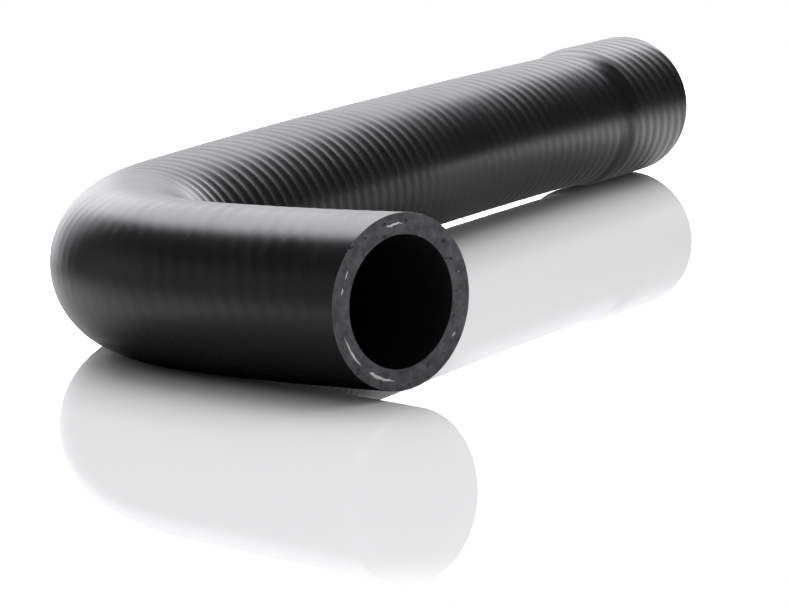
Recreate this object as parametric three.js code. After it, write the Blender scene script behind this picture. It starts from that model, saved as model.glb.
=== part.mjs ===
// Fuel filler hose: one moulded rubber body. A short plain leg leads through a wide elbow
// into a long ribbed leg, which ends in a slightly enlarged cuff. The bore is open at both ends.
// The hose lies on z = 0, with its cuff along +X and its short leg towards -Y.

import * as THREE from "three";

// Section
const boreDiameter = 38;
const wall = 6.2;
const cuffStep = 1.7; // how far the cuff's wall stands out from the leg's, bore and outside alike
const edgeBevel = 0.5; // broken edges of the two cut ends

// Plan of the centre line, in the order from the short leg's mouth to the cuff's mouth
const shortLegLength = 83.5;
const shortLegBow = 3.4; // degrees
const elbowRadius = 131;
const elbowTurn = 60.6; // degrees
const longLegLength = 342;
const longLegBow = 4.4; // degrees
const flareLength = 13;
const cuffLength = 48.5;

// The lie of the hose: the cuff and the elbow touch the ground
const mouthLift = 2.4; // underside of the short leg's mouth above the ground
const touchIntoElbow = 0.42; // where the elbow touches, as a share of its length

// The short leg's mouth is cut a little off square
const cutTurn = -2; // degrees, about the upright
const cutLean = -3.2; // degrees, about the level

// Ribs left by the wrapping that the hose was cured in: a helix of several starts
const ribPitch = 7.25; // along the hose
const ribDepth = 0.5;
const ribStarts = 7;
const ribOnsetLength = 60; // how far back from the long leg the ribs reach into the elbow
const ribFadeLength = 35;

// Fineness of the surface
const sides = 32;
const plainRingStep = 10;
const boreRingStep = 24;
const elbowBoreRings = 12;
const flareRings = 4;

const legRadius = boreDiameter / 2 + wall;
const boreRadius = boreDiameter / 2;
const elbowLength = elbowRadius * THREE.MathUtils.degToRad(elbowTurn);
const elbowStart = shortLegLength;
const elbowEnd = elbowStart + elbowLength;
const flareStart = elbowEnd + longLegLength;
const flareEnd = flareStart + flareLength;
const hoseLength = flareEnd + cuffLength;
const ribsStart = elbowEnd - ribOnsetLength;
const touchPoint = elbowStart + touchIntoElbow * elbowLength;

// The centre line's runs, each an arc or a straight line in plan
const runs = [
  { length: shortLegLength, turn: shortLegBow },
  { length: elbowLength, turn: elbowTurn },
  { length: longLegLength, turn: longLegBow },
  { length: flareLength + cuffLength, turn: 0 },
];
const totalTurn = runs.reduce((sum, run) => sum + run.turn, 0);

// Place and heading of the centre line in plan, at a distance s from the short leg's mouth
function planAt(s) {
  const place = new THREE.Vector2(0, 0);
  let heading = THREE.MathUtils.degToRad(totalTurn);
  let left = s;
  for (const [index, run] of runs.entries()) {
    const last = index === runs.length - 1;
    const step = last ? left : Math.min(left, run.length);
    const turned = (THREE.MathUtils.degToRad(run.turn) * step) / run.length;
    const middle = heading - turned / 2;
    const chord = turned === 0 ? step : (2 * step * Math.sin(turned / 2)) / turned;
    place.x += chord * Math.cos(middle);
    place.y += chord * Math.sin(middle);
    heading -= turned;
    left -= step;
  }
  return { place, heading };
}

// Height of the centre line: the underside lifts towards the short leg's mouth, and rises
// from the elbow until the cuff lies level on the ground
function heightAt(s) {
  const lift = mouthLift * Math.max(0, 1 - s / touchPoint) ** 2;
  const towardsCuff = THREE.MathUtils.clamp((s - touchPoint) / (flareEnd - touchPoint), 0, 1);
  const rise = (cuffStep + ribDepth) * (1 - (1 - towardsCuff) ** 2);
  return legRadius + lift + rise;
}

// Cross-section frame: centre, the direction along the hose, to its right and upwards
function frameAt(s) {
  const { place, heading } = planAt(s);
  const slope = Math.atan(heightAt(s + 0.5) - heightAt(s - 0.5));
  const along = new THREE.Vector3(
    Math.cos(heading) * Math.cos(slope),
    Math.sin(heading) * Math.cos(slope),
    Math.sin(slope),
  );
  const right = new THREE.Vector3(Math.sin(heading), -Math.cos(heading), 0);
  const up = new THREE.Vector3().crossVectors(right, along);
  return { centre: new THREE.Vector3(place.x, place.y, heightAt(s)), along, right, up };
}

// How far the wall has stepped out towards the cuff
function cuffStepAt(s) {
  return cuffStep * THREE.MathUtils.smoothstep(s, flareStart, flareEnd);
}

// Share of the full rib depth at a distance s
function ribStrengthAt(s) {
  return THREE.MathUtils.smoothstep(s, ribsStart, ribsStart + ribFadeLength);
}

// The mouth's oblique cut moves points of the section along the hose, less and less with distance
function cutShiftAt(s, radius, angle) {
  const across = Math.cos(angle) * Math.tan(THREE.MathUtils.degToRad(cutTurn));
  const upright = Math.sin(angle) * Math.tan(THREE.MathUtils.degToRad(cutLean));
  const fade = Math.max(0, 1 - s / (2 * boreRingStep));
  return radius * (across + upright) * fade;
}

const positions = [];
const triangles = [];

function addVertex(s, radius, angle) {
  const { centre, along, right, up } = frameAt(s);
  const point = centre
    .addScaledVector(right, radius * Math.cos(angle))
    .addScaledVector(up, radius * Math.sin(angle))
    .addScaledVector(along, cutShiftAt(s, radius, angle));
  positions.push(point.x, point.y, point.z);
  return positions.length / 3 - 1;
}

const angleOf = (side) => (2 * Math.PI * side) / sides;

function addRing(s, radius) {
  return Array.from({ length: sides }, (_, side) => addVertex(s, radius, angleOf(side)));
}

function joinRings(ring, next) {
  for (let side = 0; side < sides; side += 1) {
    const other = (side + 1) % sides;
    triangles.push(ring[side], next[other], ring[other]);
    triangles.push(ring[side], next[side], next[other]);
  }
}

function joinAll(rings) {
  rings.slice(1).forEach((ring, index) => joinRings(rings[index], ring));
}

// Distances from one end of a stretch to the other, in equal steps no longer than the given one
function stepsBetween(from, to, step) {
  const count = Math.max(1, Math.round((to - from) / step));
  return Array.from({ length: count + 1 }, (_, index) => from + ((to - from) * index) / count);
}

// Outside of the short leg and the first part of the elbow, from the mouth's outer edge
const outside = [
  addRing(0, legRadius - edgeBevel),
  ...stepsBetween(edgeBevel, ribsStart, plainRingStep).map((s) => addRing(s, legRadius)),
];
joinAll(outside);

// Ribbed outside: each line along the hose has a vertex on every crest and in every hollow
// that it crosses, and neighbouring lines are joined crest to crest and hollow to hollow
const halfPitch = ribPitch / 2;
const shiftPerTurn = 2 * ribStarts;
const cuffRing = addRing(hoseLength - edgeBevel, legRadius + cuffStep);

function ribLine(side) {
  const shift = (shiftPerTurn * side) / sides;
  const first = Math.ceil(ribsStart / halfPitch + shift + 0.4);
  const last = Math.floor((hoseLength - edgeBevel) / halfPitch + shift - 0.4);
  const line = [{ row: -Infinity, vertex: outside.at(-1)[side] }];
  for (let row = first; row <= last; row += 1) {
    const s = (row - shift) * halfPitch;
    const crest = row % 2 === 0 ? ribDepth * ribStrengthAt(s) : 0;
    const radius = legRadius + cuffStepAt(s) + crest;
    line.push({ row, vertex: addVertex(s, radius, angleOf(side)) });
  }
  line.push({ row: Infinity, vertex: cuffRing[side] });
  return line;
}

// Fills the strip between two neighbouring lines of the ribbed outside
function joinLines(line, other) {
  let here = 0;
  let there = 0;
  while (here < line.length - 1 || there < other.length - 1) {
    const nextHere = line[here + 1]?.row ?? Infinity;
    const nextThere = other[there + 1]?.row ?? Infinity;
    const canMoveHere = here < line.length - 1;
    const canMoveThere = there < other.length - 1;
    if (canMoveThere && (!canMoveHere || nextThere <= nextHere)) {
      triangles.push(line[here].vertex, other[there + 1].vertex, other[there].vertex);
      there += 1;
    } else {
      triangles.push(line[here].vertex, line[here + 1].vertex, other[there].vertex);
      here += 1;
    }
  }
}

const ribLines = Array.from({ length: sides }, (_, side) => ribLine(side));
ribLines.forEach((line, side) => {
  const seam = side === sides - 1;
  const next = seam
    ? ribLines[0].map(({ row, vertex }) => ({ row: row + shiftPerTurn, vertex }))
    : ribLines[side + 1];
  joinLines(line, next);
});

// Cuff's cut end, then the bore back to the short leg's mouth, then the mouth's cut face
const cuffBore = boreRadius + cuffStep;
const boreStops = [
  ...stepsBetween(edgeBevel, elbowStart, boreRingStep).slice(0, -1),
  ...stepsBetween(elbowStart, elbowEnd, elbowLength / elbowBoreRings).slice(0, -1),
  ...stepsBetween(elbowEnd, flareStart, boreRingStep).slice(0, -1),
  ...stepsBetween(flareStart, flareEnd, flareLength / flareRings),
  hoseLength - edgeBevel,
];
const inside = boreStops.reverse().map((s) => addRing(s, boreRadius + cuffStepAt(s)));
joinAll([
  cuffRing,
  addRing(hoseLength, legRadius + cuffStep - edgeBevel),
  addRing(hoseLength, cuffBore + edgeBevel),
  ...inside,
  addRing(0, boreRadius + edgeBevel),
  outside[0],
]);

const geometry = new THREE.BufferGeometry();
geometry.setAttribute("position", new THREE.Float32BufferAttribute(positions, 3));
geometry.setIndex(triangles);

// The origin is on the ground below the middle of the hose's box
geometry.computeBoundingBox();
const middle = geometry.boundingBox.getCenter(new THREE.Vector3());
geometry.translate(-middle.x, -middle.y, -geometry.boundingBox.min.z);
geometry.computeVertexNormals();

const rubber = new THREE.MeshStandardMaterial({ color: 0x1b1b1c, roughness: 0.5, metalness: 0 });
const hose = new THREE.Mesh(geometry, rubber);
hose.name = "hose";

const part = new THREE.Group();
part.add(hose);

export default part;
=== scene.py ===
import math

import bmesh
import bpy
from mathutils import Matrix, Vector, noise


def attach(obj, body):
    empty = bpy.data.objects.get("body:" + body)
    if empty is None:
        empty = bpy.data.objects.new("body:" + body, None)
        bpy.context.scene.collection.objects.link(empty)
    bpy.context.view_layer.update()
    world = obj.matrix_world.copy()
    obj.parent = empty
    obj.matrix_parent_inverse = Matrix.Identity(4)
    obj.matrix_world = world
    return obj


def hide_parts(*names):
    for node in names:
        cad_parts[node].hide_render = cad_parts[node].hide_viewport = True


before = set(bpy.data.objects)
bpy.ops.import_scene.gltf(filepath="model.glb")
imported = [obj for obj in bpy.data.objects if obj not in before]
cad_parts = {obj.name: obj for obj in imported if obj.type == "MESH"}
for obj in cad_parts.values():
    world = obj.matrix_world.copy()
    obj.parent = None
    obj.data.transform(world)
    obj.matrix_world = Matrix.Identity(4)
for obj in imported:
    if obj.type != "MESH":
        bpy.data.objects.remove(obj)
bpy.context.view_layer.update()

# A moulded rubber hose: a short plain leg, a wide elbow and a long ribbed leg with a cuff.
# The hose is drawn in millimetres until a point is placed. Its finishes, the camera, the lights
# and the floor are in metres. Headings, turns, leans and the yarn's angles are in degrees.

MM = 0.001
UP = Vector((0, 0, 1))

# Section
BORE_RADIUS = 19.0
WALL = 6.2
CUFF_STEP = 1.7
EDGE_ROUNDING = 0.25

# Centre line, from the short leg's mouth to the cuff's mouth
SHORT_LEG = 83.5
SHORT_LEG_BOW = 3.4
ELBOW_RADIUS = 131.0
ELBOW_TURN = 60.6
LONG_LEG = 342.0
LONG_LEG_BOW = 4.4
FLARE = 13.0
CUFF = 48.5
MOUTH_PLACE = (-260.97, -91.28)

# Its lie on the ground: the mouth is lifted, the elbow touches at a share of its length
MOUTH_LIFT = 2.4
TOUCH_INTO_ELBOW = 0.42
LONG_LEG_ARCH = 0.35

# The mouth's oblique cut, and how far along the hose it is felt
CUT_TURN = -2.0
CUT_LEAN = -4.0
CUT_ADVANCE = 0.35
CUT_FADE = 48.0

# Wrap ribs: a faint trace behind the mouth and in the elbow, full from the long leg on, then worn.
# Their strengths are shares of the depth. A run is where a change starts and where it ends.
RIB_PITCH = 7.25
RIB_DEPTH = 0.26
RIB_STARTS = 7
RIB_ONSET = 52.0
RIB_FADE = 35.0
MOUTH_RUN = (2.0, 12.0)
FAINT_RIBS = 0.24
ELBOW_FAINT_RIBS = 0.12
ELBOW_FAINT_RUN = (85.0, 120.0)
WORN_RIBS = 0.4
WORN_RUN = (290.0, 420.0)
CUFF_RIBS = 0.6
CUFF_RIBS_RUN = (530.0, 580.0)

# How unevenly the ribs lie. A drift is how quickly the noise changes round the hose, the length
# of one change along it, and where in the noise it starts.
WANDER = 0.45
WANDER_DRIFT = (1.4, 26.0, (0, 0, 0))
PATCHINESS = 1.2
PATCHY_DRIFT = (2.5, 12.0, (2, 9, 0))
USUAL_STRENGTH = 0.86
VARIATION = 0.25
VARIATION_DRIFT = (1.8, 15.0, (5, 3, 0))
WEAR = 0.9
WEAR_DRIFT = (1.2, 34.0, (8.3, 11.6, 3))
WEAKEST = 0.2
STRONGEST = 1.3

# Fineness of the surface, and the distance in metres within which its points are welded
SIDES = 96
RINGS_PER_RIB = 8
BORE_STEP = 5.0
ROUNDING_STEPS = 4
CUT_FACE_STEPS = 8
WELD = 1e-6

LEG_RADIUS = BORE_RADIUS + WALL
ELBOW = ELBOW_RADIUS * math.radians(ELBOW_TURN)
ELBOW_END = SHORT_LEG + ELBOW
FLARE_START = ELBOW_END + LONG_LEG
FLARE_END = FLARE_START + FLARE
HOSE_LENGTH = FLARE_END + CUFF
RIBS_START = ELBOW_END - RIB_ONSET
TOUCH = SHORT_LEG + TOUCH_INTO_ELBOW * ELBOW
RUNS = [
    (SHORT_LEG, SHORT_LEG_BOW),
    (ELBOW, ELBOW_TURN),
    (LONG_LEG, LONG_LEG_BOW),
    (FLARE + CUFF, 0.0),
]


def smooth_step(value, low, high):
    share = min(max((value - low) / (high - low), 0.0), 1.0)
    return share * share * (3 - 2 * share)


def plan_at(s):
    """Place and heading of the centre line in plan, at a distance s from the short leg's mouth."""
    x, y = MOUTH_PLACE
    heading = math.radians(sum(turn for _, turn in RUNS))
    left = s
    for index, (length, turn) in enumerate(RUNS):
        last = index == len(RUNS) - 1
        step = left if last else min(left, length)
        turned = math.radians(turn) * step / length
        chord = 2 * step * math.sin(turned / 2) / turned if turned else step
        x += chord * math.cos(heading - turned / 2)
        y += chord * math.sin(heading - turned / 2)
        heading -= turned
        left -= step
    return x, y, heading


def height_at(s):
    """Height of the centre line: the elbow and the cuff touch the ground."""
    lift = MOUTH_LIFT * max(0.0, 1 - s / TOUCH) ** 2
    towards_cuff = min(max((s - TOUCH) / (FLARE_END - TOUCH), 0.0), 1.0)
    rise = (CUFF_STEP + CUFF_RIBS * RIB_DEPTH) * (1 - (1 - towards_cuff) ** 3)
    arch = LONG_LEG_ARCH * math.sin(math.pi * towards_cuff)
    return LEG_RADIUS + lift + rise + arch


def frame_at(s):
    """Centre of the section, and the directions along the hose, to its right and upwards."""
    x, y, heading = plan_at(s)
    rise_over_a_millimetre = height_at(s + 0.5) - height_at(s - 0.5)
    slope = math.atan(rise_over_a_millimetre)
    along = Vector((
        math.cos(heading) * math.cos(slope),
        math.sin(heading) * math.cos(slope),
        math.sin(slope),
    ))
    right = Vector((math.sin(heading), -math.cos(heading), 0.0))
    return Vector((x, y, height_at(s))), along, right, right.cross(along)


def cuff_step_at(s):
    return CUFF_STEP * smooth_step(s, FLARE_START, FLARE_END)


def drift(s, angle, quickness, length, start):
    """Noise that changes slowly round the hose and along it."""
    around = Vector((math.cos(angle), math.sin(angle), 0.0))
    x, y, z = start
    return noise.noise(around * quickness + Vector((x, y, z + s / length)))


def rib_strength_at(s, angle):
    """Share of the ribs' depth that a place has, from its run, its wear and its unevenness."""
    faint = FAINT_RIBS + (ELBOW_FAINT_RIBS - FAINT_RIBS) * smooth_step(s, *ELBOW_FAINT_RUN)
    faint *= 1 + PATCHINESS * drift(s, angle, *PATCHY_DRIFT)
    strength = max(faint, smooth_step(s, RIBS_START, RIBS_START + RIB_FADE))
    worn = 1 + (WORN_RIBS - 1) * smooth_step(s, *WORN_RUN)
    worn += (CUFF_RIBS - WORN_RIBS) * smooth_step(s, *CUFF_RIBS_RUN)
    strength *= smooth_step(s, *MOUTH_RUN) * worn
    wear = smooth_step(s, *WORN_RUN) * (1 - smooth_step(s, *CUFF_RIBS_RUN))
    uneven = USUAL_STRENGTH + VARIATION * drift(s, angle, *VARIATION_DRIFT)
    uneven += WEAR * wear * drift(s, angle, *WEAR_DRIFT)
    return strength * min(max(uneven, WEAKEST), STRONGEST)


def ribs_at(s, angle):
    """The wrap ribs, a helix of several starts that wanders a little: how strong they are, and
    how near the place is to a crest, from 0 to 1."""
    wander = WANDER * drift(s, angle, *WANDER_DRIFT)
    phase = 2 * math.pi * s / RIB_PITCH + RIB_STARTS * angle + wander
    return rib_strength_at(s, angle), (1 + math.cos(phase)) / 2


def cut_shift(s, radius, angle):
    """How far the mouth's oblique cut moves a point along the hose."""
    across = math.cos(angle) * math.tan(math.radians(CUT_TURN))
    upright = math.sin(angle) * math.tan(math.radians(CUT_LEAN))
    return (radius * (across + upright) - CUT_ADVANCE) * max(0.0, 1 - s / CUT_FADE)


def evenly(start, end, step):
    """Values from start to end in equal steps of about the given size."""
    count = max(1, round(abs(end - start) / step))
    return [start + (end - start) * index / count for index in range(count + 1)]


def rounding(corner_s, corner_radius, towards_s, towards_radius, outwards_first):
    """Points of a rounded edge of the wall's outline, from one flank to the other."""
    points = []
    for index in range(ROUNDING_STEPS + 1):
        turn = math.pi / 2 * index / ROUNDING_STEPS
        inset_s, inset_radius = 1 - math.sin(turn), 1 - math.cos(turn)
        if outwards_first:
            inset_s, inset_radius = 1 - math.cos(turn), 1 - math.sin(turn)
        points.append((
            corner_s + towards_s * EDGE_ROUNDING * inset_s,
            corner_radius + towards_radius * EDGE_ROUNDING * inset_radius,
        ))
    return points


SATIN, CUT, INSIDE = range(3)


def wall_outline():
    """The wall's lengthwise outline: outside, cuff end, bore and mouth, as (s, radius, finish)."""
    cuff_outer = LEG_RADIUS + CUFF_STEP
    cuff_inner = BORE_RADIUS + CUFF_STEP
    points = [(s, r, CUT) for s, r in rounding(0, LEG_RADIUS, 1, -1, True)]
    outside = evenly(EDGE_ROUNDING, HOSE_LENGTH - EDGE_ROUNDING, RIB_PITCH / RINGS_PER_RIB)
    points += [(s, LEG_RADIUS + cuff_step_at(s), SATIN) for s in outside[1:-1]]
    edge = rounding(HOSE_LENGTH, cuff_outer, -1, -1, False)
    points += [(*edge[0], SATIN)] + [(s, r, CUT) for s, r in edge[1:]]
    face = evenly(cuff_outer - EDGE_ROUNDING, cuff_inner + EDGE_ROUNDING, WALL / CUT_FACE_STEPS)
    points += [(HOSE_LENGTH, r, CUT) for r in face[1:-1]]
    points += [(s, r, CUT) for s, r in rounding(HOSE_LENGTH, cuff_inner, -1, 1, True)]
    inside = evenly(HOSE_LENGTH - EDGE_ROUNDING, EDGE_ROUNDING, BORE_STEP)
    points += [(s, BORE_RADIUS + cuff_step_at(s), INSIDE) for s in inside[1:-1]]
    edge = rounding(0, BORE_RADIUS, 1, 1, False)
    points += [(*edge[0], INSIDE)] + [(s, r, CUT) for s, r in edge[1:]]
    face = evenly(BORE_RADIUS + EDGE_ROUNDING, LEG_RADIUS - EDGE_ROUNDING, WALL / CUT_FACE_STEPS)
    points += [(0.0, r, CUT) for r in face[1:-1]]
    return points


def add_object(name, data):
    """Puts a mesh, a camera or a light into the scene, and returns its object."""
    added = bpy.data.objects.new(name, data)
    bpy.context.scene.collection.objects.link(added)
    return added


def finish_mesh(mesh, name, materials):
    """Turns a bmesh into a piece that rides on the part, and returns its object."""
    bmesh.ops.recalc_face_normals(mesh, faces=mesh.faces[:])
    for face in mesh.faces:
        face.smooth = True
    data = bpy.data.meshes.new(name)
    mesh.to_mesh(data)
    mesh.free()
    for material in materials:
        data.materials.append(material)
    piece = add_object(name, data)
    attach(piece, "root")
    return piece


def extrude_ring(mesh, edges):
    """Extrudes a closed ring of edges, and returns the new ring's edges and vertices."""
    made = bmesh.ops.extrude_edge_only(mesh, edges=edges)["geom"]
    verts = [item for item in made if isinstance(item, bmesh.types.BMVert)]
    new = set(verts)
    ring = [
        item for item in made
        if isinstance(item, bmesh.types.BMEdge) and item.verts[0] in new and item.verts[1] in new
    ]
    return ring, verts


def build_hose(materials):
    """The hose's wall: a flat sheet that is rolled round the centre line, out along the
    outside and back through the bore, until its edges meet."""
    outline = wall_outline()
    rows = len(outline)
    mesh = bmesh.new()
    straight = mesh.verts.layers.float_vector.new("straight")
    crest = mesh.verts.layers.float.new("crest")
    hollow = mesh.verts.layers.float.new("hollow")
    bmesh.ops.create_grid(mesh, x_segments=SIDES, y_segments=rows, size=0.5)
    frames = [frame_at(s) for s, _, _ in outline]
    for vert in mesh.verts:
        row = round((vert.co.y + 0.5) * rows) % rows
        angle = 2 * math.pi * round((vert.co.x + 0.5) * SIDES) / SIDES
        s, radius, finish = outline[row]
        centre, along, right, up = frames[row]
        ribbed = finish == SATIN and EDGE_ROUNDING < s < HOSE_LENGTH - EDGE_ROUNDING
        strength, nearness = ribs_at(s, angle) if ribbed else (0.0, 0.0)
        out = radius + RIB_DEPTH * strength * nearness
        vert[crest] = strength * nearness
        vert[hollow] = strength * (1 - nearness)
        across = right * math.cos(angle) + up * math.sin(angle)
        vert[straight] = Vector((out * math.cos(angle), out * math.sin(angle), s)) * MM
        vert.co = (centre + across * out + along * cut_shift(s, out, angle)) * MM
    # The faces come row by row, and each row has the finish of the point where it ends
    for index, face in enumerate(mesh.faces):
        face.material_index = outline[(index // SIDES + 1) % rows][2]
    bmesh.ops.remove_doubles(mesh, verts=mesh.verts[:], dist=WELD)
    piece = finish_mesh(mesh, "moulded_hose", materials)
    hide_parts("hose")
    return piece


# Cut ends of the reinforcing yarn in the mouth's face. Each has its two ends as angles from the
# right, anticlockwise as seen from the mouth, then half its greatest width, the share of its
# length where it is widest, and how far it snakes.
YARN_ENDS = [
    (103.0, 87.0, 0.32, 0.35, 0.10),
    (150.0, 156.5, 0.24, 0.6, 0.0),
    (163.0, 168.5, 0.18, 0.4, 0.15),
    (199.0, 226.0, 0.34, 0.6, 0.05),
    (236.0, 262.0, 0.50, 0.3, -0.05),
    (-29.0, -33.5, 0.26, 0.6, 0.0),
    (15.4, 16.4, 0.16, 0.5, 0.0),
]
YARN_RADIUS = 22.2
YARN_WAVES = 3
YARN_THINNEST = 0.02
YARN_BLUNTNESS = 0.7
YARN_HEIGHT = 0.6
YARN_STEP = 1.5
YARN_FEWEST_STEPS = 4
YARN_SIDES = 8

# How ragged its width is and how far it strays: the amount, then how quickly the noise changes
# with the angle and the line of the noise that it follows
RAGGEDNESS = 0.5
RAGGED_RATE = 14.0
RAGGED_LINE = (2.0, 1.0)
STRAYING = 0.25
STRAY_RATE = 9.0
STRAY_LINE = (7.0, 3.0)


def yarn_at(share, start, end, half_width, widest, bow):
    """Angle, distance from the centre line and half width of a yarn end, at a share of it."""
    angle = math.radians(start + (end - start) * share)
    swell = math.sin(math.pi * share ** (math.log(0.5) / math.log(widest))) ** YARN_BLUNTNESS
    ragged = 1 + RAGGEDNESS * noise.noise((angle * RAGGED_RATE, *RAGGED_LINE))
    snake = bow * math.sin(2 * math.pi * YARN_WAVES * share)
    stray = STRAYING * noise.noise((angle * STRAY_RATE, *STRAY_LINE))
    return angle, YARN_RADIUS + snake + stray, max(YARN_THINNEST, half_width * swell * ragged)


def build_yarn_ends(material):
    """Slivers of yarn that lie in the mouth's cut face and stand a little proud of it."""
    mesh = bmesh.new()
    centre, along, right, up = frame_at(0.0)
    for start, end, *form in YARN_ENDS:
        count = max(YARN_FEWEST_STEPS, round(abs(end - start) / YARN_STEP))
        circle = bmesh.ops.create_circle(mesh, cap_ends=True, segments=YARN_SIDES, radius=1)
        verts = circle["verts"]
        ring = verts[0].link_faces[0].edges[:]
        turns = {vert: 2 * math.pi * side / YARN_SIDES for side, vert in enumerate(verts)}
        for index in range(count + 1):
            if index > 0:
                before = turns
                ring, verts = extrude_ring(mesh, ring)
                turns = {
                    vert: before[edge.other_vert(vert)]
                    for vert in verts for edge in vert.link_edges if edge.other_vert(vert) in before
                }
            angle, radius, width = yarn_at(index / count, start, end, *form)
            across = right * math.cos(angle) + up * math.sin(angle)
            for vert in verts:
                out = radius + width * math.cos(turns[vert])
                proud = YARN_HEIGHT * width * math.sin(turns[vert])
                shift = cut_shift(0.0, out, angle) - proud
                vert.co = (centre + across * out + along * shift) * MM
        bmesh.ops.edgeloop_fill(mesh, edges=ring)
    piece = finish_mesh(mesh, "yarn_ends", [material])
    return piece


class Value:
    """A shader socket that Python arithmetic can be done on, by adding Math nodes."""

    def __init__(self, finish, socket):
        self.finish = finish
        self.socket = socket

    def math(self, operation, *others):
        terms = dict(enumerate((self, *others)))
        return self.finish.node("ShaderNodeMath", {"operation": operation}, terms)

    def __add__(self, other):
        return self.math("ADD", other)

    __radd__ = __add__

    def __mul__(self, other):
        return self.math("MULTIPLY", other)

    __rmul__ = __mul__

    def __sub__(self, other):
        return self.math("SUBTRACT", other)

    def __rsub__(self, other):
        return self.finish.node("ShaderNodeMath", {"operation": "SUBTRACT"}, {0: other, 1: self})

    def __pow__(self, other):
        return self.math("POWER", other)

    def clamped(self):
        return self.finish.node(
            "ShaderNodeMath", {"operation": "ADD", "use_clamp": True}, {0: self, 1: 0.0}
        )

    def between(self, low, high):
        """0 below low, 1 above high and a smooth step in between."""
        return self.finish.node(
            "ShaderNodeMapRange",
            {"interpolation_type": "SMOOTHSTEP"},
            {"Value": self, "From Min": low, "From Max": high},
        )


class Finish:
    """The node tree of a material or of the world."""

    def __init__(self, owner):
        owner.use_nodes = True
        self.tree = owner.node_tree
        self.tree.nodes.clear()

    def node(self, kind, settings=None, inputs=None, output=0):
        """Adds a node with its settings, fills in or links its inputs, and returns one output."""
        node = self.tree.nodes.new(kind)
        for name, value in (settings or {}).items():
            setattr(node, name, value)
        for key, value in (inputs or {}).items():
            if isinstance(value, Value):
                self.tree.links.new(value.socket, node.inputs[key])
            else:
                node.inputs[key].default_value = value
        return Value(self, node.outputs[output]) if node.outputs else None

    def ray(self, name):
        """A fact about the ray that is being followed."""
        return self.node("ShaderNodeLightPath", output=name)

    def attribute(self, name, output):
        """What the mesh's own layer of that name holds."""
        return self.node("ShaderNodeAttribute", {"attribute_name": name}, output=output)

    def shade(self, amount, dark, light):
        """A grey or colour between two, by an amount from 0 to 1."""
        return self.node(
            "ShaderNodeMix",
            {"data_type": "RGBA"},
            {"Factor": amount, "A": (*dark, 1), "B": (*light, 1)},
            output="Result",
        )

    def grain(self, place, scale, detail=2.0, roughness=0.5):
        return self.node(
            "ShaderNodeTexNoise",
            {},
            {"Vector": place, "Scale": scale, "Detail": detail, "Roughness": roughness},
            output="Fac",
        )

    def stretched(self, place, factors):
        return self.node(
            "ShaderNodeVectorMath", {"operation": "MULTIPLY"}, {0: place, 1: factors}
        )

    def along(self, place, axis):
        """How far a place or a direction reaches along an axis."""
        return self.node(
            "ShaderNodeVectorMath",
            {"operation": "DOT_PRODUCT"},
            {0: place, 1: axis},
            output="Value",
        )

    def bumps(self, height):
        """The normal of a surface with small heights on it, in metres."""
        return self.node(
            "ShaderNodeBump", {}, {"Strength": 1.0, "Distance": 1.0, "Height": height}
        )

    def glow(self, strength):
        return self.node("ShaderNodeEmission", {}, {"Color": (1, 1, 1, 1), "Strength": strength})

    def mixed(self, amount, first, second):
        """The first shader, the second or some of both, by an amount from 0 to 1."""
        return self.node("ShaderNodeMixShader", {}, {0: amount, 1: first, 2: second})

    def surface(self, **inputs):
        """Ends a material with the usual surface, whose inputs are named with underscores."""
        named = {name.replace("_", " "): value for name, value in inputs.items()}
        shader = self.node("ShaderNodeBsdfPrincipled", {}, named)
        self.node("ShaderNodeOutputMaterial", {}, {"Surface": shader})


# The outside's gloss: blotches, dust and the ribs' hollows dull it, and the crests are polished
# more and more along the long leg
SATIN_ROUGHNESS = 0.17
BLOTCH_ROUGHNESS = 0.08
DUST_ROUGHNESS = 0.05
HOLLOW_ROUGHNESS = 0.22
CREST_POLISH = 0.7
POLISH_ROUGHNESS = 0.22
POLISH_RUN = (0.38, 0.62)
CLOTH_HEIGHT = 0.00002
DUST_HEIGHT = 0.000006

# The sawn ends: how much the mottling, the scoring and the specks lighten them, where in their
# grain the specks and the pits start and are full, and how high or deep the marks are
MOTTLING_SHARE = 0.5
SCORING_SHARE = 0.55
SPECK_SHARE = 0.5
MOTTLING_EDGE = (0.32, 0.68)
SPECK_EDGE = (0.64, 0.74)
PIT_EDGE = (0.70, 0.78)
SCORING_HEIGHT = 0.00012
PIT_DEPTH = 0.0004

# The yarn's filaments, and where in their grain the gaps between them end
FILAMENT_HEIGHT = 0.0001
FILAMENT_EDGE = (0.3, 0.6)


def new_finish(name):
    material = bpy.data.materials.new(name)
    return material, Finish(material)


def satin_rubber():
    """The outside: black rubber with the soft gloss and the wrapped cloth's marks."""
    material, finish = new_finish("satin_wrapped_rubber")
    place = finish.attribute("straight", "Vector")
    cloth = finish.grain(finish.stretched(place, (0.35, 0.35, 1.0)), scale=420.0, detail=3.0)
    blotches = finish.grain(place, scale=38.0, detail=3.0, roughness=0.6)
    dust = finish.grain(place, scale=2600.0)
    hollow = finish.attribute("hollow", "Fac")
    roughness = SATIN_ROUGHNESS + BLOTCH_ROUGHNESS * blotches + DUST_ROUGHNESS * dust
    polish = finish.along(place, UP).between(*POLISH_RUN)
    finish.surface(
        Base_Color=finish.shade(blotches, (0.006, 0.006, 0.0065), (0.011, 0.011, 0.012)),
        Roughness=roughness + HOLLOW_ROUGHNESS * hollow,
        Coat_Weight=CREST_POLISH * finish.attribute("crest", "Fac") * polish,
        Coat_Roughness=POLISH_ROUGHNESS,
        Normal=finish.bumps(CLOTH_HEIGHT * cloth + DUST_HEIGHT * dust),
    )
    return material


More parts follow.
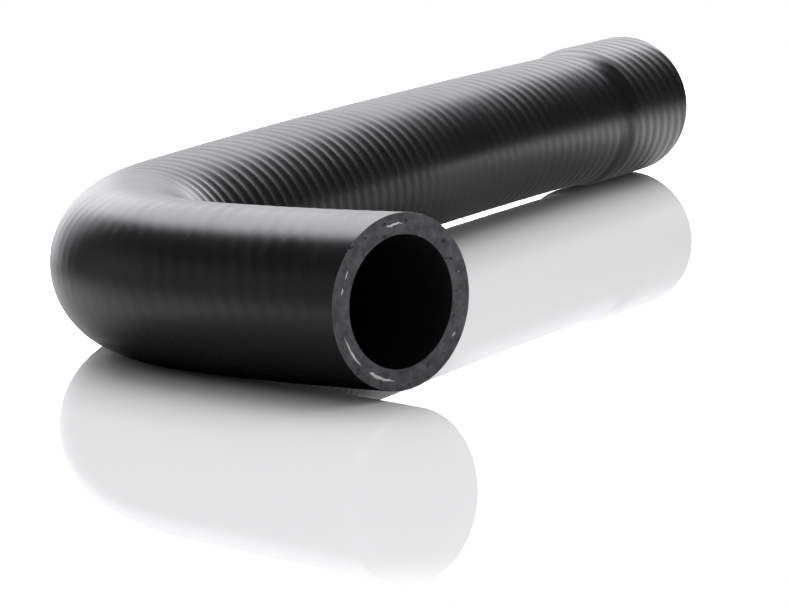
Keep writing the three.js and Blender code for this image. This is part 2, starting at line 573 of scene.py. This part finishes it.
def cut_rubber():
    """The sawn ends: matt dark grey, mottled, with fine scoring, specks and small pits, which are
    also darkened in the colour as painted shade.
    """
    material, finish = new_finish("sawn_rubber_end")
    place = finish.node("ShaderNodeTexCoord", output="Object")
    across = finish.stretched(place, (1.0, 0.4, 1.0))
    scoring = finish.grain(across, scale=900.0, detail=4.0, roughness=0.6)
    mottling = finish.grain(place, scale=330.0, detail=3.0, roughness=0.6).between(*MOTTLING_EDGE)
    specks = finish.grain(place, scale=1500.0).between(*SPECK_EDGE)
    pits = finish.grain(place, scale=520.0, detail=1.0).between(*PIT_EDGE)
    # The pits are subtracted from the tone: a painted shade in the recesses that their bump also
    # makes.
    tone = MOTTLING_SHARE * mottling + SCORING_SHARE * scoring + SPECK_SHARE * specks - pits
    finish.surface(
        Base_Color=finish.shade(tone.clamped(), (0.055, 0.055, 0.058), (0.2, 0.2, 0.209)),
        Roughness=0.55 + 0.2 * scoring,
        Normal=finish.bumps(SCORING_HEIGHT * scoring - PIT_DEPTH * pits),
    )
    return material


def bore_rubber():
    """The inside: dull black rubber, marked by the mandrel that it was cured on."""
    material, finish = new_finish("dull_bore_rubber")
    place = finish.attribute("straight", "Vector")
    streaks = finish.grain(finish.stretched(place, (1.0, 1.0, 0.06)), scale=500.0, detail=3.0)
    finish.surface(
        Base_Color=finish.shade(streaks, (0.006, 0.006, 0.006), (0.012, 0.012, 0.012)),
        Roughness=0.6 + 0.2 * streaks,
    )
    return material


def pale_yarn():
    """Cut polyester yarn, pale, with the low gaps between its filaments darkened as painted shade.
    """
    material, finish = new_finish("pale_cut_yarn")
    place = finish.node("ShaderNodeTexCoord", output="Object")
    filaments = finish.grain(place, scale=3500.0, detail=3.0)
    pale = filaments.between(*FILAMENT_EDGE)
    # The colour is darker where the filaments' bump is low: a painted shade in the gaps between
    # them.
    finish.surface(
        Base_Color=finish.shade(pale, (0.8, 0.8, 0.78), (1.0, 1.0, 0.98)),
        Roughness=0.7 + 0.2 * filaments,
        Normal=finish.bumps(FILAMENT_HEIGHT * filaments),
    )
    return material


# The camera stands low, beyond the short leg's mouth
CAMERA_PLACE = (-1.40394, -0.65597, 0.20052)
VIEW_HEADING = 63.62
VIEW_PITCH = 7.753
VIEW_ROLL = -2.747
SENSOR_WIDTH = 36.0
FOCAL_LENGTH = 210.24


def view_direction():
    """Level direction that the camera looks along."""
    heading = math.radians(VIEW_HEADING)
    return Vector((math.sin(heading), math.cos(heading), 0.0))


def place_camera():
    pitch, roll = math.radians(VIEW_PITCH), math.radians(VIEW_ROLL)
    forward = view_direction() * math.cos(pitch) - UP * math.sin(pitch)
    level = view_direction().cross(UP)
    upright = level.cross(forward)
    right = level * math.cos(roll) + upright * math.sin(roll)
    up = upright * math.cos(roll) - level * math.sin(roll)
    data = bpy.data.cameras.new("camera")
    data.sensor_fit = "HORIZONTAL"
    data.sensor_width = SENSOR_WIDTH
    data.lens = FOCAL_LENGTH
    camera = add_object("camera", data)
    turn = Matrix((right, up, -forward)).transposed().to_4x4()
    camera.matrix_world = Matrix.Translation(CAMERA_PLACE) @ turn
    bpy.context.scene.camera = camera


# A wide softbox hangs above and behind the hose and faces it. It needs an energy of four times
# its radiance for each square metre.
SOFTBOX_SIZE = (1.3, 0.9)
SOFTBOX_DISTANCE = 1.4
SOFTBOX_ELEVATION = 72.0
SOFTBOX_RADIANCE = 2.0
ENERGY_PER_RADIANCE = 4


def place_softbox():
    elevation = math.radians(SOFTBOX_ELEVATION)
    away = view_direction()
    towards = away * math.cos(elevation) + UP * math.sin(elevation)
    level = away.cross(UP)
    data = bpy.data.lights.new("softbox", "AREA")
    data.shape = "RECTANGLE"
    data.size, data.size_y = SOFTBOX_SIZE
    data.energy = ENERGY_PER_RADIANCE * SOFTBOX_RADIANCE * SOFTBOX_SIZE[0] * SOFTBOX_SIZE[1]
    softbox = add_object("softbox", data)
    turn = Matrix((level, towards.cross(level), towards)).transposed().to_4x4()
    softbox.matrix_world = Matrix.Translation(towards * SOFTBOX_DISTANCE) @ turn
    softbox.visible_camera = False


# The white backdrop behind the hose. Places on it are shares of a direction that point aside,
# upwards or ahead. It is brighter upwards, as far as its top, and a little darker to the right.
BACKDROP_LEVEL = 1.0
BACKDROP_RISE = 6.5
BACKDROP_TOP = 0.59
BACKDROP_SLANT = 0.25

# Its soft edges: the left one, which moves out upwards, the right one and the one overhead
BACKDROP_LEFT = (0.245, 0.405)
BACKDROP_LEFT_SPREAD = 0.45
BACKDROP_RIGHT = (0.24, 0.5)
BACKDROP_OVERHEAD = (0.15, 0.6)

# How much brighter still the backdrop is in the floor's sharp mirror, which it outshines, for
# rays that have turned fewer times than this
BACKDROP_IN_FLOOR = 5.0
FLOOR_RAY_DEPTH = 2.5

# Two brighter places low on the backdrop, left and right: near edge, far edge, top and level.
# Both end where the backdrop is no longer ahead.
LEFT_PATCH = ((0.05, 0.17), (0.38, 0.56), (0.28, 0.42), 0.85)
RIGHT_PATCH = ((0.14, 0.28), (0.4, 0.5), (0.26, 0.36), 1.8)
PATCHES_AHEAD = (0.0, 0.4)

# The room: its barely cool tint, what its gloss shows, the plain light it gives, and a dim card
# on the left
ROOM_TINT = (0.97, 0.96, 1.0)
ROOM_GLOSS = 0.04
ROOM_LIGHT = 0.5
CARD_LEVEL = 0.2
CARD_EDGE = (0.6, 0.85)
CARD_TOP = (0.28, 0.48)


def low_patch(aside, height, patch):
    """A brighter place low on the backdrop, on the side that aside counts towards."""
    near, far, top, level = patch
    return aside.between(*near) * (1 - aside.between(*far)) * (1 - height.between(*top)) * level


def light_world():
    """White for the camera, and for other rays a white backdrop behind the hose in a dim room."""
    world = bpy.data.worlds.new("studio")
    bpy.context.scene.world = world
    finish = Finish(world)
    camera = finish.ray("Is Camera Ray")
    mirrored = (finish.ray("Is Glossy Ray") + finish.ray("Is Transmission Ray")).clamped()
    direction = finish.node("ShaderNodeTexCoord", output="Generated")
    away = view_direction()
    ahead = finish.along(direction, away)
    right = finish.along(direction, away.cross(UP))
    left = -1 * right
    height = finish.along(direction, UP)
    low = height.math("MINIMUM", BACKDROP_TOP)
    left_edge = (left - BACKDROP_LEFT_SPREAD * low * low).between(*BACKDROP_LEFT)
    right_edge = right.between(*BACKDROP_RIGHT)
    window = (1 - left_edge) * (1 - right_edge) * ahead.between(*BACKDROP_OVERHEAD)
    level = (BACKDROP_LEVEL + BACKDROP_RISE * low * low) * (1 - BACKDROP_SLANT * right)
    patches = low_patch(left, height, LEFT_PATCH) + low_patch(right, height, RIGHT_PATCH)
    card = left.between(*CARD_EDGE) * (1 - height.between(*CARD_TOP)) * CARD_LEVEL
    room = mirrored * (ROOM_GLOSS + card) + (1 - mirrored) * ROOM_LIGHT
    studio = window * level + patches * ahead.between(*PATCHES_AHEAD) + room
    from_floor = finish.ray("Is Singular Ray") * finish.ray("Ray Depth").math(
        "LESS_THAN", FLOOR_RAY_DEPTH
    )
    strength = camera + (1 - camera) * studio
    strength = strength + from_floor * (1 - camera) * BACKDROP_IN_FLOOR
    tint = finish.shade(camera, ROOM_TINT, (1, 1, 1))
    shader = finish.node("ShaderNodeBackground", {}, {"Color": tint, "Strength": strength})
    finish.node("ShaderNodeOutputWorld", {}, {"Surface": shader})


# The floor: a white sheet under a clear gloss, in which the bright backdrop outshines the sheet
# wherever no mirror image of the hose lies. It is plain white far away and close to the camera.
# Near the hose, the glow that the camera sees on it is darkened into a painted contact shadow.
FLOOR_HALF = 6.0
FLOOR_SHADE = (0.45, 0.45, 0.45, 1)
FLOOR_LIFT = 0.43
FLOOR_GLOSS_IOR = 1.1
CONTACT_REACH = 0.05
CONTACT_DEPTH = 1.5
CONTACT_SAMPLES = 24
LIT_FLOOR_EDGE = (0.45, 0.9)
LIT_FRONT_EDGE = (0.5, 0.55)

# What the hose's gloss shows of the floor is painted light. It is a glow for glossy rays, at a
# level with a painted shade that falls under the hose, and with painted lighter places along the
# long leg, by the cuff and by the elbow. On the hose they make a painted reflection.
PAINTED_FLOOR_GLOW_LEVEL = 0.38
UNDERSIDE_PAINTED_SHADE_DEPTH = 2.8
LONG_LEG_PAINTED_LIGHT_LEVEL = 0.12
LONG_LEG_REACH = (0.0, 0.12)
CUFF_PAINTED_LIGHT_LEVEL = 0.65
CUFF_PATCH_START = (0.2, 0.34)
CUFF_PATCH_END = (0.38, 0.6)
ELBOW_PAINTED_LIGHT_LEVEL = 0.32
ELBOW_PATCH_SIDE = (-0.12, -0.01)
ELBOW_PATCH_BACK = (0.02, 0.07)


def painted_floor_in_gloss(finish, place, clear):
    """Painted glow of the floor at a place, for the rays that the hose's gloss sends there: a
    painted shade under the hose and painted light patches, seen on the hose as a painted
    reflection.
    """
    beyond = finish.along(place, Vector((1, 0, 0)))
    back = finish.along(place, Vector((0, 1, 0)))
    painted_cuff_light = beyond.between(*CUFF_PATCH_START) * (1 - beyond.between(*CUFF_PATCH_END))
    painted_elbow_light = (1 - beyond.between(*ELBOW_PATCH_SIDE)) * back.between(*ELBOW_PATCH_BACK)
    return (
        PAINTED_FLOOR_GLOW_LEVEL * clear**UNDERSIDE_PAINTED_SHADE_DEPTH
        + LONG_LEG_PAINTED_LIGHT_LEVEL * beyond.between(*LONG_LEG_REACH)
        + CUFF_PAINTED_LIGHT_LEVEL * painted_cuff_light * clear
        + ELBOW_PAINTED_LIGHT_LEVEL * painted_elbow_light
    )


def white_floor():
    """White sheet with a clear gloss: it keeps the real shadow, a painted contact shadow in the
    camera's glow, and a mirror image close to the hose.
    """
    material, finish = new_finish("white_floor")
    camera = finish.ray("Is Camera Ray")
    place = finish.node("ShaderNodeTexCoord", output="Object")
    clear = finish.node(
        "ShaderNodeAmbientOcclusion",
        {"samples": CONTACT_SAMPLES},
        {"Distance": CONTACT_REACH},
        output="AO",
    )
    sheet = finish.node("ShaderNodeBsdfDiffuse", {}, {"Color": FLOOR_SHADE})
    # The camera's glow on the sheet fades where ambient occlusion finds the hose: a painted contact
    # shadow on top of the sheet's real shadow.
    lift = finish.glow(camera * FLOOR_LIFT * clear**CONTACT_DEPTH)
    lifted = finish.node("ShaderNodeAddShader", {}, {0: sheet, 1: lift})
    # For glossy rays the floor shows this painted glow instead of its lit sheet, so the hose
    # carries a painted reflection of it.
    painted_floor_glow = finish.glow(painted_floor_in_gloss(finish, place, clear))
    body = finish.mixed(finish.ray("Is Glossy Ray"), lifted, painted_floor_glow)
    gloss = finish.node(
        "ShaderNodeBsdfAnisotropic", {}, {"Color": (1, 1, 1, 1), "Roughness": 0.0}
    )
    fresnel = finish.node("ShaderNodeFresnel", {}, {"IOR": FLOOR_GLOSS_IOR})
    distance = finish.node(
        "ShaderNodeVectorMath", {"operation": "LENGTH"}, {0: place}, output="Value"
    )
    nearer = -1 * finish.along(place, view_direction())
    lit = distance.between(*LIT_FLOOR_EDGE).math("MAXIMUM", nearer.between(*LIT_FRONT_EDGE))
    seen = finish.mixed(lit * camera, finish.mixed(fresnel, body, gloss), finish.glow(1.0))
    finish.node("ShaderNodeOutputMaterial", {}, {"Surface": seen})
    return material


def build_floor():
    mesh = bmesh.new()
    bmesh.ops.create_grid(mesh, x_segments=1, y_segments=1, size=FLOOR_HALF)
    data = bpy.data.meshes.new("floor")
    mesh.to_mesh(data)
    mesh.free()
    data.materials.append(white_floor())
    floor = add_object("floor", data)


bpy.context.scene.view_settings.view_transform = "Standard"
place_camera()
place_softbox()
light_world()
build_floor()
build_hose([satin_rubber(), cut_rubber(), bore_rubber()])
build_yarn_ends(pale_yarn())
